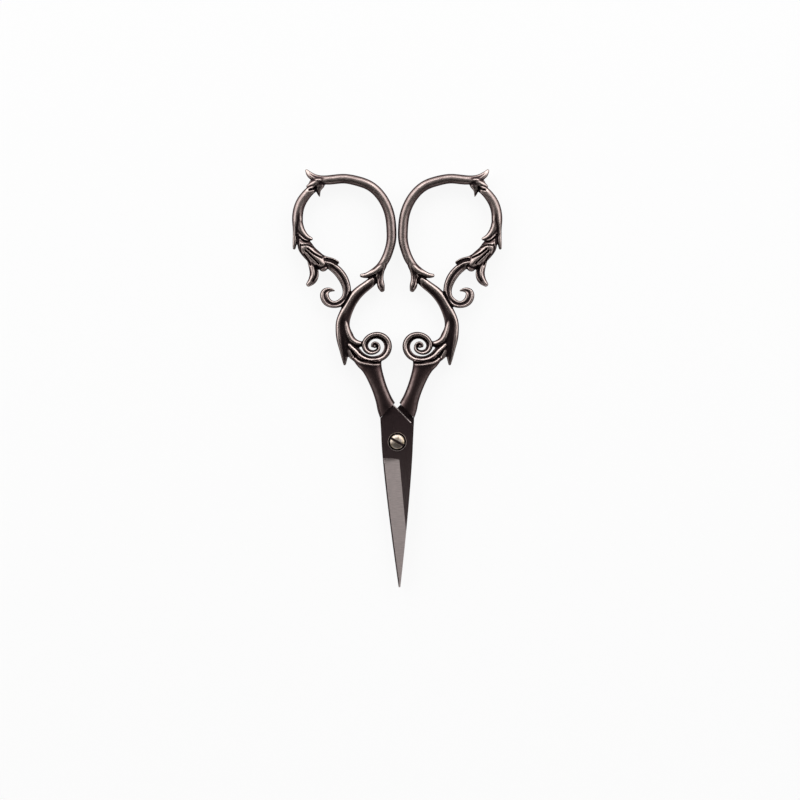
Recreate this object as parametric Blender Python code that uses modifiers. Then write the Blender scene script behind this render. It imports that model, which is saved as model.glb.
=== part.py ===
"""Ornate embroidery scissors: two cast scroll handles on two steel blades, joined by one pivot screw.

The scissors are modelled closed and flat. In the modelling frame the pivot's axis is Z, the blades
point along -Y and meet at z = 0. The left handle holds the front blade, which lies on top. The rear
half is the same half turned over about the Y axis. Sizes are in millimetres, and MM turns them into
metres where a mesh or a curve is made.
"""
import math

import bmesh
import bpy
from mathutils import Matrix, Vector
from mathutils.geometry import intersect_line_line_2d

MM = 0.001
WELD = 0.005 * MM  # vertices nearer than this are one
OVERCUT = 1.0  # how far a cutter stands past what it cuts

# Blades
BLADE_LENGTH = 43.4  # from the pivot to the tip
BLADE_WIDTH = 9.4  # at the pivot
BLADE_THICKNESS = 1.4
BLADE_GAP = 0.3  # between the two blades' inner faces
BLADE_TAPER = 1.25  # 1 narrows in a straight line to the tip, more stays wide for longer
BLADE_LEAN = math.radians(0.9)  # the closed blades lean this far from the rings' centre line
TIP_WIDTH = 0.5
EDGE_INSET = 0.4  # the ground edge lies this far inside the other blade's spine

# Ground bevel on each blade's outer face
GRIND_START = 5.1  # from the pivot to the bevel's upper end
GRIND_LINE_X = 0.5  # from the blade's middle to the bevel's inner border, at its upper end
GRIND_CORNER = 1.2  # radius of the bevel's upper corner
EDGE_THICKNESS = 0.15  # left at the cutting edge, beside the bevel's upper end
TIP_THICKNESS = 0.35  # left at the tip

# Blade's shoulders, between the pivot and the handles
SHOULDER_SWELL = 0.15  # the spine's shoulder stands this far out past the width at the pivot
SHOULDER_CORNER = 1.2  # length of the corner's facet on each side
SHOULDER_CLEARANCE = 1.55  # from the slanted shoulder to the other handle's ferrule

# Pivot screw
SHANK_DIAMETER = 2.8
HEAD_DIAMETER = 4.5
HEAD_EDGE = 0.4  # height of the head's straight side
HEAD_DOME = 0.9  # height of the dome above it
SLOT_WIDTH = 0.8
SLOT_DEPTH = 0.6
SLOT_ANGLE = math.radians(-30)
SCREW_END = 0.3  # the shank's end stands this far out of the rear blade
RUNNING_GAP = 0.3  # round and under whatever turns on the screw
RECESS_DEPTH = 0.4  # of the round recess that the head sits in
RECESS_CLEARANCE = 0.4  # round the head

# Ferrule: the handle's straight sleeve, with a socket for the blade's tang
MOUTH_X = -2.84  # middle of its open end
MOUTH_Y = 9.36
MOUTH = Vector((MOUTH_X, MOUTH_Y))
MOUTH_ANGLE = math.radians(45.6)  # slant of that end
MOUTH_WIDTH = 5.8
WAIST_WIDTH = 4.6
COLLAR_WIDTH = 7.5  # where it meets the volute
COLLAR_OFFSET = 1.6  # the ferrule's axis meets the volute this far outside its centre
FERRULE_EDGE = 1.1  # radius of its long edges
SOCKET_WALL = 0.5  # beside the socket
SOCKET_ROOF = 0.75  # above the socket
TANG_LENGTH = 9.0
TANG_CLEARANCE = 0.3  # between the tang and its socket, all round

# Volute over the ferrule, and the shank from there to the ring
VOLUTE_X = -6.5  # its centre
VOLUTE_Y = 28.3
VOLUTE_CENTRE = Vector((VOLUTE_X, VOLUTE_Y))
VOLUTE_RADIUS = 3.75  # from its centre to the middle of the outer turn
VOLUTE_TURNS = 1.2
VOLUTE_STEPS = 12  # stations along the winding part
VOLUTE_WIDTH = 2.0
VOLUTE_DEPTH = 4.0
EYE_DIAMETER = 3.0
EYE_DEPTH = 4.8
VOLUTE_BED_END = -30  # the angle, in degrees, up to which the ferrule's head follows the volute
SHANK_WIDTH = 4.4
SHANK_DEPTH = 4.4
SHANK_REACH = 10.0  # from the volute's centre up to the ring's own part of the shank

# Finger ring with its leaves, flower and C-scroll
RING_WIDTH = 28.0  # across the ring, between the middles of its arms
RING_HEIGHT = 29.7
RING_Y = 63.6  # from the pivot up to the ring's centre
RING_GAP = 0.3  # between the two closed rings
ARM_WIDTH = 3.0
ARM_DEPTH = 3.4
LEAF_DEPTH = 3.2
SPUR_DEPTH = 2.9
PETAL_DEPTH = 2.6
SCROLL_DEPTH = 3.6

COLLECTION = "sewing_scissors"

# Stations of the ring's forms, from the ring's centre. Each is (across, along, half width), as shares
# of the ring's half width, of its half height and of half of ARM_WIDTH.
MAIN_ARM = (
    (-0.815, 1.165, 0.28), (-0.765, 1.09, 0.5), (-0.67, 1.025, 0.72), (-0.50, 0.975, 0.88),
    (-0.28, 0.98, 0.96), (-0.02, 1.0, 0.96), (0.26, 0.955, 1.0), (0.52, 0.865, 1.0),
    (0.78, 0.64, 1.0), (0.965, 0.24, 1.0), (0.995, -0.03, 1.0), (0.99, -0.25, 0.97),
    (0.945, -0.43, 0.92), (0.86, -0.63, 0.9), (0.745, -0.775, 0.8), (0.60, -0.88, 0.75),
    (0.44, -0.945, 0.58), (0.35, -0.95, 0.34),
)
LOWER_LEAF = (
    (0.90, -0.56, 0.6), (0.80, -0.77, 0.7), (0.765, -0.93, 0.6), (0.76, -1.08, 0.68),
    (0.79, -1.225, 0.4),
)
UPPER_LOBE = ((-0.42, 0.96, 0.9), (-0.60, 0.925, 0.85), (-0.72, 0.875, 0.52), (-0.80, 0.845, 0.2))
UPPER_SPUR = (
    (-0.36, 0.94, 0.8), (-0.44, 0.87, 0.9), (-0.515, 0.80, 0.9), (-0.553, 0.71, 0.55),
    (-0.558, 0.65, 0.2),
)
OUTER_ARM = (
    (-0.56, 0.87, 0.8), (-0.74, 0.755, 0.92), (-0.856, 0.634, 1.0), (-0.935, 0.514, 1.04),
    (-0.982, 0.39, 1.06), (-1.005, 0.251, 1.08), (-1.009, 0.11, 1.04), (-1.03, -0.03, 0.74),
    (-1.054, -0.19, 0.5), (-1.067, -0.31, 0.42), (-1.078, -0.40, 0.3),
)
INNER_LEAF = (
    (-0.985, 0.16, 0.84), (-0.955, 0.02, 0.82), (-0.89, -0.10, 0.74), (-0.80, -0.18, 0.58),
    (-0.71, -0.21, 0.34),
)
TRUMPET = (
    (-0.99, -0.06, 0.5), (-0.965, -0.16, 0.7), (-0.917, -0.25, 1.05), (-0.86, -0.34, 1.44),
    (-0.79, -0.44, 1.5), (-0.65, -0.575, 1.52), (-0.53, -0.68, 1.4), (-0.45, -0.78, 0.95),
)
TOP_PETAL = ((-0.58, -0.53, 0.7), (-0.42, -0.61, 0.6), (-0.27, -0.645, 0.56), (-0.15, -0.685, 0.36))
TONGUE = (
    (-0.75, -0.55, 0.7), (-0.68, -0.76, 0.84), (-0.65, -0.92, 0.92), (-0.69, -1.04, 0.84),
    (-0.775, -1.125, 0.5),
)
C_SCROLL = (
    (-0.46, -0.64, 0.8), (-0.35, -0.705, 0.9), (-0.265, -0.765, 0.92), (-0.163, -0.845, 0.96),
    (-0.053, -0.974, 1.0), (0.024, -1.134, 0.94), (0.055, -1.275, 0.92), (0.02, -1.415, 0.94),
    (-0.095, -1.51, 0.86), (-0.245, -1.54, 0.78), (-0.375, -1.485, 0.88), (-0.435, -1.381, 0.92),
    (-0.40, -1.275, 0.74), (-0.31, -1.22, 0.5), (-0.22, -1.235, 0.24),
)
SHANK_TOP = (
    (0.82, -0.74, 0.74), (0.70, -0.93, 0.85), (0.55, -1.09, 0.96), (0.385, -1.21, 1.05),
    (0.25, -1.325, 1.15), (0.136, -1.475, 1.17),
)

# Stations below the ring, from the volute's centre, as shares of SHANK_REACH. The half width is a share
# of half of SHANK_WIDTH, or of half of VOLUTE_WIDTH for the volute's root.
SHANK_FOOT = (
    (-0.892, 0.99, 0.86), (-0.973, 0.705, 0.95), (-0.97, 0.5, 1.0), (-0.95, 0.3, 1.02),
    (-0.935, 0.07, 0.86), (-0.925, -0.12, 0.66), (-0.92, -0.34, 0.42), (-0.915, -0.52, 0.2),
)
SHANK_SPUR = (
    (-0.89, 0.46, 0.6), (-0.8, 0.29, 0.6), (-0.67, 0.16, 0.54), (-0.535, 0.1, 0.36), (-0.42, 0.115, 0.26),
)
VOLUTE_ROOT = (
    (-0.9, 0.09, 1.1), (-0.75, -0.07, 1.3), (-0.57, -0.225, 1.35), (-0.4, -0.3, 1.1), (-0.21, -0.355, 0.98),
)

# The ferrule's sides: (share of the way from its mouth to the volute, half of its width there)
FERRULE_SIDES = (
    (-0.3, MOUTH_WIDTH / 2), (0.0, MOUTH_WIDTH / 2), (0.26, WAIST_WIDTH * 0.525), (0.44, WAIST_WIDTH / 2),
    (0.62, WAIST_WIDTH * 0.525), (0.81, WAIST_WIDTH * 0.35 + COLLAR_WIDTH * 0.15), (1.0, COLLAR_WIDTH / 2),
    (1.2, COLLAR_WIDTH * 0.615),
)

# Heights that follow from the sizes above
BLADE_LOW = BLADE_GAP / 2
BLADE_HIGH = BLADE_LOW + BLADE_THICKNESS
SOCKET_HIGH = BLADE_HIGH + TANG_CLEARANCE
FERRULE_DEPTH = (SOCKET_HIGH + SOCKET_ROOF) * 2
FLOWER_DEPTH = FERRULE_DEPTH  # the scissors lie flat on their ferrules and flowers
RING_X = -(RING_WIDTH + ARM_WIDTH + RING_GAP) / 2


def clear_scene():
    """Remove every object, so that the script always starts from nothing."""
    for item in list(bpy.data.objects):
        bpy.data.objects.remove(item, do_unlink=True)


def new_collection(name):
    """A collection of the scene with the given name."""
    group = bpy.data.collections.new(name)
    bpy.context.scene.collection.children.link(group)
    return group


def material(name, color, metallic, roughness):
    """A Principled material."""
    surface = bpy.data.materials.new(name)
    surface.use_nodes = True
    shader = surface.node_tree.nodes["Principled BSDF"]
    shader.inputs["Base Color"].default_value = (*color, 1.0)
    shader.inputs["Metallic"].default_value = metallic
    shader.inputs["Roughness"].default_value = roughness
    return surface


def mesh_object(name, mesh):
    """A new object in the scene, with its origin on the pivot's axis."""
    item = bpy.data.objects.new(name, mesh)
    bpy.context.scene.collection.objects.link(item)
    return item


def baked_mesh(item):
    """The object's mesh with its modifiers and its place applied. The object is removed."""
    bpy.context.view_layer.update()
    graph = bpy.context.evaluated_depsgraph_get()
    mesh = bpy.data.meshes.new_from_object(item.evaluated_get(graph))
    mesh.transform(item.matrix_world)
    bpy.data.objects.remove(item, do_unlink=True)
    return mesh


def curve_solid(name, curve):
    """The closed mesh object of a curve with filled ends."""
    mesh = baked_mesh(mesh_object(name, curve))
    bpy.data.curves.remove(curve)
    work = bmesh.new()
    work.from_mesh(mesh)
    bmesh.ops.remove_doubles(work, verts=work.verts, dist=WELD)
    bmesh.ops.recalc_face_normals(work, faces=work.faces)
    work.to_mesh(mesh)
    work.free()
    return mesh_object(name, mesh)


def rounded_end(stations):
    """The stations, with one more that rounds the last end off."""
    before = Vector(stations[-2][:2])
    last = Vector(stations[-1][:2])
    half_width = stations[-1][2]
    tip = last + (last - before).normalized() * half_width * 0.75
    return [*stations, (tip.x, tip.y, half_width * 0.45)]


def bar(name, stations, depth):
    """A cast bar that swells and tapers through its stations, (x, y, half width) in millimetres."""
    curve = bpy.data.curves.new(name, "CURVE")
    curve.dimensions = "3D"
    curve.twist_mode = "Z_UP"
    curve.resolution_u = 2
    curve.bevel_depth = MM
    curve.bevel_resolution = 2
    curve.use_fill_caps = True
    stations = rounded_end(stations)
    spline = curve.splines.new("BEZIER")
    spline.bezier_points.add(len(stations) - 1)
    for point, (x, y, half_width) in zip(spline.bezier_points, stations):
        point.co = (x * MM, y * MM, 0.0)
        point.radius = half_width
        point.handle_left_type = "AUTO"
        point.handle_right_type = "AUTO"
    solid = curve_solid(name, curve)
    high = max(vertex.co.z for vertex in solid.data.vertices)
    solid.data.transform(Matrix.Diagonal((1.0, 1.0, depth / 2 * MM / high, 1.0)))
    return solid


def plate(name, outline, low, high):
    """A flat solid: the closed outline in millimetres, from z = low to z = high."""
    curve = bpy.data.curves.new(name, "CURVE")
    curve.dimensions = "2D"
    curve.fill_mode = "BOTH"
    curve.extrude = (high - low) / 2 * MM
    spline = curve.splines.new("POLY")
    spline.points.add(len(outline) - 1)
    for point, (x, y) in zip(spline.points, outline):
        point.co = (x * MM, y * MM, 0.0, 1.0)
    spline.use_cyclic_u = True
    solid = curve_solid(name, curve)
    solid.data.transform(Matrix.Translation((0.0, 0.0, (low + high) / 2 * MM)))
    return solid


def turned(name, profile):
    """A round solid about Z: the profile, (radius, z) in millimetres, runs from the top down."""
    mesh = bpy.data.meshes.new(name)
    points = [(radius * MM, 0.0, z * MM) for radius, z in profile]
    mesh.from_pydata(points, [(i, i + 1) for i in range(len(points) - 1)], [])
    raw = mesh_object(name, mesh)
    screw = raw.modifiers.new("turn", "SCREW")
    screw.steps = 32
    screw.render_steps = 32
    screw.use_merge_vertices = True
    screw.merge_threshold = WELD
    return mesh_object(name, baked_mesh(raw))


def drum(name, radius, low, high):
    """A plain cylinder about the pivot's axis."""
    return turned(name, ((0.0, high), (radius, high), (radius, low), (0.0, low)))


def combine(target, others, operation, cutters):
    """Join the others to the target, or cut them from it. The others stay as hidden guides."""
    name = target.name
    for other in others:
        boolean = target.modifiers.new(other.name, "BOOLEAN")
        boolean.operation = operation
        boolean.solver = "EXACT"
        boolean.use_self = operation == "UNION"
        boolean.object = other
    mesh = baked_mesh(target)
    for other in others:
        other.hide_render = True
        other.display_type = "WIRE"
        bpy.context.scene.collection.objects.unlink(other)
        cutters.objects.link(other)
    return mesh_object(name, mesh)


def clean(solid):
    """Merge the near vertices that Booleans leave, drop slivers, and leave only triangles."""
    work = bmesh.new()
    work.from_mesh(solid.data)
    bmesh.ops.remove_doubles(work, verts=work.verts, dist=WELD)
    bmesh.ops.dissolve_degenerate(work, edges=work.edges, dist=WELD)
    bmesh.ops.triangulate(work, faces=work.faces)
    bmesh.ops.dissolve_degenerate(work, edges=work.edges, dist=WELD)
    bmesh.ops.triangulate(work, faces=work.faces)
    work.to_mesh(solid.data)
    work.free()
    return solid


def turned_over(name, solid):
    """A copy of the solid, turned half a turn about the Y axis."""
    mesh = solid.data.copy()
    mesh.transform(Matrix.Rotation(math.pi, 4, "Y"))
    return mesh_object(name, mesh)


def smooth(stations, steps=4):
    """More stations, on a Catmull-Rom curve through the given ones."""
    rows = [Vector(station) for station in stations]
    rows = [rows[0] * 2 - rows[1], *rows, rows[-1] * 2 - rows[-2]]
    result = []
    for before, start, end, after in zip(rows, rows[1:], rows[2:], rows[3:]):
        bend = before * 2 - start * 5 + end * 4 - after
        twist = start * 3 - before - end * 3 + after
        for step in range(steps):
            t = step / steps
            result.append(start + ((end - before) * t + bend * t ** 2 + twist * t ** 3) / 2)
    return [*result, rows[-2]]


def arc(centre, radius, first, last, count):
    """Points on an arc about the centre, from the first angle to the last, in degrees."""
    angles = (math.radians(first + (last - first) * i / (count - 1)) for i in range(count))
    return [Vector((centre.x + radius * math.cos(a), centre.y + radius * math.sin(a))) for a in angles]


def crossing(point, direction, other_point, other_direction):
    """Where two lines meet."""
    reach = BLADE_LENGTH
    return intersect_line_line_2d(
        point - direction * reach,
        point + direction * reach,
        other_point - other_direction * reach,
        other_point + other_direction * reach,
    )


def on_ring(shares):
    """Ring stations, given as shares, in millimetres."""
    return [
        (RING_X + across * RING_WIDTH / 2, RING_Y + along * RING_HEIGHT / 2, width * ARM_WIDTH / 2)
        for across, along, width in shares
    ]


def by_volute(stations, width):
    """Stations given from the volute's centre, with half widths as shares of half the width."""
    return [
        (VOLUTE_CENTRE.x + across * SHANK_REACH, VOLUTE_CENTRE.y + along * SHANK_REACH, share * width / 2)
        for across, along, share in stations
    ]


def mouth_axes():
    """Unit vectors along the ferrule's mouth and out of it."""
    along = Vector((math.cos(MOUTH_ANGLE), math.sin(MOUTH_ANGLE)))
    return along, Vector((along.y, -along.x))


def ferrule_head():
    """Where the ferrule's axis meets the volute's underside."""
    return VOLUTE_CENTRE + Vector((-COLLAR_OFFSET, -VOLUTE_RADIUS - VOLUTE_WIDTH / 2))


def ferrule_side(share, half_width, side):
    """A point beside the ferrule's axis, at a share of the way from its mouth to its head."""
    line = ferrule_head() - MOUTH
    across = Vector((line.y, -line.x)).normalized() * side
    return MOUTH + line * share + across * half_width


def before_mouth(half_width, side, clearance):
    """Where a line beside the ferrule's axis is at the clearance from the mouth, outside it."""
    along, out = mouth_axes()
    axis = (ferrule_head() - MOUTH).normalized()
    return crossing(ferrule_side(0.0, half_width, side), axis, MOUTH + out * clearance, along)


def tang_outline(clearance):
    """The tang's two sides up to its end, or with a clearance its socket's."""
    end = (TANG_LENGTH + clearance) / (ferrule_head() - MOUTH).length
    inset = SOCKET_WALL + TANG_CLEARANCE - clearance
    sides = [(row.x, row.y - inset) for row in smooth(FERRULE_SIDES) if 0.0 < row.x < end]
    sides.append((end, sides[-1][1]))
    left = [ferrule_side(share, half, -1) for share, half in sides]
    right = [ferrule_side(share, half, 1) for share, half in sides]
    return left, right


def half_blade_width(reach):
    """From the blade's middle to its spine, at a distance below the pivot."""
    share = min(reach / BLADE_LENGTH, 1.0)
    return TIP_WIDTH / 2 + (BLADE_WIDTH - TIP_WIDTH) / 2 * (1 - share ** BLADE_TAPER)


def shoulder(side_x):
    """The slanted shoulder, from the corner at the spine's side to the blade's own ferrule."""
    along, out = mouth_axes()
    slant = Vector((-along.x, along.y))
    other_mouth = Vector((-MOUTH.x, MOUTH.y)) + Vector((-out.x, out.y)) * SHOULDER_CLEARANCE
    corner = crossing(Vector((side_x, 0.0)), Vector((0.0, 1.0)), other_mouth, slant)
    top = crossing(MOUTH + out * TANG_CLEARANCE, along, other_mouth, slant)
    return [corner - Vector((0.0, SHOULDER_CORNER)), corner + slant * SHOULDER_CORNER, top]


def blade_outline(lean):
    """The front blade with its tang, anticlockwise from the tip. Its edge is on the left."""
    reaches = [BLADE_LENGTH * (1 - step / 10) for step in range(11)]
    spine = [(half_blade_width(reach), -reach) for reach in reaches]
    left, right = tang_outline(0.0)
    half_tang = MOUTH_WIDTH / 2 - SOCKET_WALL - TANG_CLEARANCE
    tang = [before_mouth(half_tang, 1, TANG_CLEARANCE), *right, *left[::-1]]
    tang.append(before_mouth(half_tang, -1, TANG_CLEARANCE))
    outer = before_mouth(MOUTH_WIDTH / 2, -1, TANG_CLEARANCE)
    heel = (-half_blade_width(GRIND_START), -GRIND_START)
    ground = [GRIND_START + (BLADE_LENGTH - GRIND_START) * step / 8 for step in range(8)]
    edge = [(EDGE_INSET - half_blade_width(reach), -reach) for reach in ground]
    tip = (-TIP_WIDTH / 2, -BLADE_LENGTH)
    points = [*spine, *shoulder(BLADE_WIDTH / 2 + SHOULDER_SWELL), *tang, outer, heel, *edge, tip]
    return [(x - min(y, 0.0) * math.tan(lean), y) for x, y in points]


def grind_cutter(lean):
    """What the grinding wheel takes off the front blade: its underside is the bevel's plane."""
    edge_x = EDGE_INSET - half_blade_width(GRIND_START)
    slope_x = (BLADE_THICKNESS - EDGE_THICKNESS) / (GRIND_LINE_X - edge_x)
    drop_at_tip = BLADE_THICKNESS - TIP_THICKNESS - slope_x * (GRIND_LINE_X + TIP_WIDTH / 2)
    slope_y = -drop_at_tip / (BLADE_LENGTH - GRIND_START)
    corner = Vector((GRIND_LINE_X - GRIND_CORNER, -GRIND_START - GRIND_CORNER))
    low = -BLADE_LENGTH - OVERCUT
    outline = [(-BLADE_WIDTH, low), (BLADE_WIDTH, low), (BLADE_WIDTH, corner.y)]
    outline += arc(corner, GRIND_CORNER, 0, 90, 6)
    outline.append((-BLADE_WIDTH, -GRIND_START))
    cutter = plate("grind", outline, 0.0, BLADE_THICKNESS * 3)
    shear = Matrix.Identity(4)
    shear[0][1] = -math.tan(lean)
    shear[2][0] = slope_x
    shear[2][1] = -slope_y
    shear[2][3] = (BLADE_HIGH - slope_x * GRIND_LINE_X - slope_y * GRIND_START) * MM
    cutter.data.transform(shear)
    return cutter


def blade(name, lean, head_recess, cutters):
    """The front blade, lying on the mating plane, with its screw hole and ground bevel."""
    solid = plate(name, blade_outline(lean), BLADE_LOW, BLADE_HIGH)
    top = BLADE_HIGH + OVERCUT
    cuts = [drum("hole", SHANK_DIAMETER / 2 + RUNNING_GAP, BLADE_LOW - OVERCUT, top)]
    if head_recess:
        cuts.append(drum("recess", HEAD_DIAMETER / 2 + RECESS_CLEARANCE, BLADE_HIGH - RECESS_DEPTH, top))
    cuts.append(grind_cutter(lean))
    return clean(combine(solid, cuts, "DIFFERENCE", cutters))


def pivot_screw(name, cutters):
    """A domed, slotted head on a plain shank that passes through both blades."""
    seat = BLADE_HIGH - RECESS_DEPTH + RUNNING_GAP
    rim = seat + HEAD_EDGE
    head = HEAD_DIAMETER / 2
    shank = SHANK_DIAMETER / 2
    end = -BLADE_HIGH - SCREW_END
    dome = [
        (head * math.sin(angle), rim + HEAD_DOME * math.cos(angle))
        for angle in (math.radians(15 * step) for step in range(7))
    ]
    solid = turned(name, (*dome, (head, seat), (shank, seat), (shank, end), (0.0, end)))
    half = SLOT_WIDTH / 2
    slot = plate(
        "slot",
        ((-HEAD_DIAMETER, -half), (HEAD_DIAMETER, -half), (HEAD_DIAMETER, half), (-HEAD_DIAMETER, half)),
        rim + HEAD_DOME - SLOT_DEPTH,
        rim + HEAD_DOME + OVERCUT,
    )
    slot.data.transform(Matrix.Rotation(SLOT_ANGLE, 4, "Z"))
    return clean(combine(solid, [slot], "DIFFERENCE", cutters))


def mouth_saw():
    """What cuts the ferrule's open end on the slant."""
    along, out = mouth_axes()
    reach = MOUTH_WIDTH * 2
    near = (MOUTH - along * reach, MOUTH + along * reach)
    outline = (near[0], near[0] + out * reach, near[1] + out * reach, near[1])
    return plate("mouth_saw", outline, -FERRULE_DEPTH, FERRULE_DEPTH)


def volute_bed():
    """What hollows the ferrule's head to the middle of the volute's lowest turn."""
    under = [Vector(station[:2]) for station in by_volute(VOLUTE_ROOT, VOLUTE_WIDTH)]
    under += arc(VOLUTE_CENTRE, VOLUTE_RADIUS, -90, VOLUTE_BED_END, 4)
    top = VOLUTE_CENTRE.y + VOLUTE_RADIUS
    left = under[0].x - VOLUTE_RADIUS
    right = under[-1].x + VOLUTE_RADIUS
    outline = [*under, (right, under[-1].y), (right, top), (left, top), (left, under[0].y)]
    return plate("volute_bed", outline, -FERRULE_DEPTH, FERRULE_DEPTH)


def ferrule(cutters):
    """The straight sleeve, flat above and below, with rounded long edges and a cut at each end."""
    sides = smooth(FERRULE_SIDES)
    left = [ferrule_side(row.x, row.y, -1) for row in sides]
    right = [ferrule_side(row.x, row.y, 1) for row in sides]
    solid = plate("ferrule", left[::-1] + right, -FERRULE_DEPTH / 2, FERRULE_DEPTH / 2)
    edges = solid.modifiers.new("edges", "BEVEL")
    edges.width = FERRULE_EDGE * MM
    edges.segments = 3
    edges.limit_method = "ANGLE"
    edges.angle_limit = math.radians(60)
    solid = mesh_object("ferrule", baked_mesh(solid))
    return combine(solid, [mouth_saw(), volute_bed()], "DIFFERENCE", cutters)


def socket():
    """The room for the tang inside the ferrule."""
    left, right = tang_outline(TANG_CLEARANCE)
    half = MOUTH_WIDTH / 2 - SOCKET_WALL
    outline = [before_mouth(half, -1, OVERCUT), before_mouth(half, 1, OVERCUT), *right, *left[::-1]]
    return plate("socket", outline, BLADE_LOW - TANG_CLEARANCE, SOCKET_HIGH)


def volute_stations():
    """The volute's bar: it comes from under the shank and winds in to the eye."""
    stations = by_volute(VOLUTE_ROOT, VOLUTE_WIDTH)
    for step in range(VOLUTE_STEPS - 1):
        share = step / VOLUTE_STEPS
        angle = math.radians(-90 + 360 * VOLUTE_TURNS * share)
        radius = VOLUTE_RADIUS * (1 - share ** 3)
        x = VOLUTE_CENTRE.x + radius * math.cos(angle)
        y = VOLUTE_CENTRE.y + radius * math.sin(angle)
        stations.append((x, y, VOLUTE_WIDTH / 2 * (1 - share ** 2 / 2)))
    return stations


def eye():
    """The round boss at the volute's centre."""
    work = bmesh.new()
    bmesh.ops.create_uvsphere(work, u_segments=12, v_segments=8, radius=EYE_DIAMETER / 2 * MM)
    mesh = bpy.data.meshes.new("eye")
    work.to_mesh(mesh)
    work.free()
    mesh.transform(Matrix.Diagonal((1.0, 1.0, EYE_DEPTH / EYE_DIAMETER, 1.0)))
    mesh.transform(Matrix.Translation((VOLUTE_CENTRE.x * MM, VOLUTE_CENTRE.y * MM, 0.0)))
    return mesh_object("eye", mesh)


def handle(name, cutters):
    """The left casting: ring, leaves, flower, scrolls, volute and ferrule in one piece."""
    shank = on_ring(SHANK_TOP) + by_volute(SHANK_FOOT, SHANK_WIDTH)
    forms = [
        bar("main_arm", on_ring(MAIN_ARM), ARM_DEPTH),
        bar("lower_leaf", on_ring(LOWER_LEAF), LEAF_DEPTH),
        bar("upper_lobe", on_ring(UPPER_LOBE), LEAF_DEPTH),
        bar("upper_spur", on_ring(UPPER_SPUR), SPUR_DEPTH),
        bar("outer_arm", on_ring(OUTER_ARM), ARM_DEPTH),
        bar("inner_leaf", on_ring(INNER_LEAF), SPUR_DEPTH),
        bar("trumpet", on_ring(TRUMPET), FLOWER_DEPTH),
        bar("top_petal", on_ring(TOP_PETAL), PETAL_DEPTH),
        bar("tongue", on_ring(TONGUE), LEAF_DEPTH),
        bar("c_scroll", on_ring(C_SCROLL), SCROLL_DEPTH),
        bar("shank", shank, SHANK_DEPTH),
        bar("shank_spur", by_volute(SHANK_SPUR, SHANK_WIDTH), SPUR_DEPTH),
        bar("volute", volute_stations(), VOLUTE_DEPTH),
        eye(),
    ]
    solid = combine(ferrule(cutters), forms, "UNION", cutters)
    solid = clean(combine(solid, [socket()], "DIFFERENCE", cutters))
    solid.name = name
    return solid


def finish_part(solid, surface, group, parent):
    """Shade, colour, file and parent a finished piece."""
    solid.data.materials.clear()
    solid.data.materials.append(surface)
    solid.data.shade_smooth()
    solid.data.set_sharp_from_angle(angle=math.radians(35))
    bpy.context.scene.collection.objects.unlink(solid)
    group.objects.link(solid)
    solid.parent = parent


def empty(name, group, parent=None):
    """An empty on the pivot's axis."""
    item = bpy.data.objects.new(name, None)
    item.empty_display_size = BLADE_WIDTH * MM
    group.objects.link(item)
    item.parent = parent
    return item


def rest_on_origin(root, solids):
    """Move the root so that the middle of the box's underside is the origin."""
    points = [vertex.co for solid in solids for vertex in solid.data.vertices]
    low = [min(point[axis] for point in points) for axis in range(3)]
    high = [max(point[axis] for point in points) for axis in range(3)]
    root.location = (-(low[0] + high[0]) / 2, -(low[1] + high[1]) / 2, -low[2])


def build():
    """Model the scissors, closed and lying flat."""
    clear_scene()
    group = new_collection(COLLECTION)
    cutters = new_collection("cutters")
    steel = material("blade_steel", (0.16, 0.145, 0.14), 1.0, 0.35)
    casting = material("gunmetal_casting", (0.10, 0.09, 0.085), 1.0, 0.3)
    brass = material("screw_brass", (0.70, 0.62, 0.50), 1.0, 0.22)

    front_blade = blade("front_blade", BLADE_LEAN, True, cutters)
    # Turned over, a blade that leans the other way lies along the front one.
    rear_blade = turned_over("rear_blade", blade("rear_pattern", -BLADE_LEAN, False, cutters))
    bpy.data.objects.remove(bpy.data.objects["rear_pattern"], do_unlink=True)
    left_handle = handle("left_handle", cutters)
    right_handle = turned_over("right_handle", left_handle)
    screw = pivot_screw("pivot_screw", cutters)

    root = empty("scissors", group)
    front_half = empty("front_half", group, root)
    rear_half = empty("rear_half", group, root)
    finish_part(front_blade, steel, group, front_half)
    finish_part(left_handle, casting, group, front_half)
    finish_part(rear_blade, steel, group, rear_half)
    finish_part(right_handle, casting, group, rear_half)
    finish_part(screw, brass, group, rear_half)
    for cutter in cutters.objects:
        cutter.parent = root
    rest_on_origin(root, [front_blade, rear_blade, left_handle, right_handle, screw])
    bpy.context.view_layer.update()


build()
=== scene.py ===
"""Looks for the embroidery scissors: carved castings, ground blades and a slotted screw on the CAD frame.

Pieces are built in design millimetres about the pivot, with the scissors closed: X across, Y towards the
rings, Z up from the blades' meeting plane. `to_frame` then turns them into the frame's metres. The right
half is the left half turned over about Y.
"""

import math

import bmesh
import bpy
import numpy as np
from mathutils import Matrix, Vector
from mathutils.geometry import intersect_line_line_2d


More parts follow.
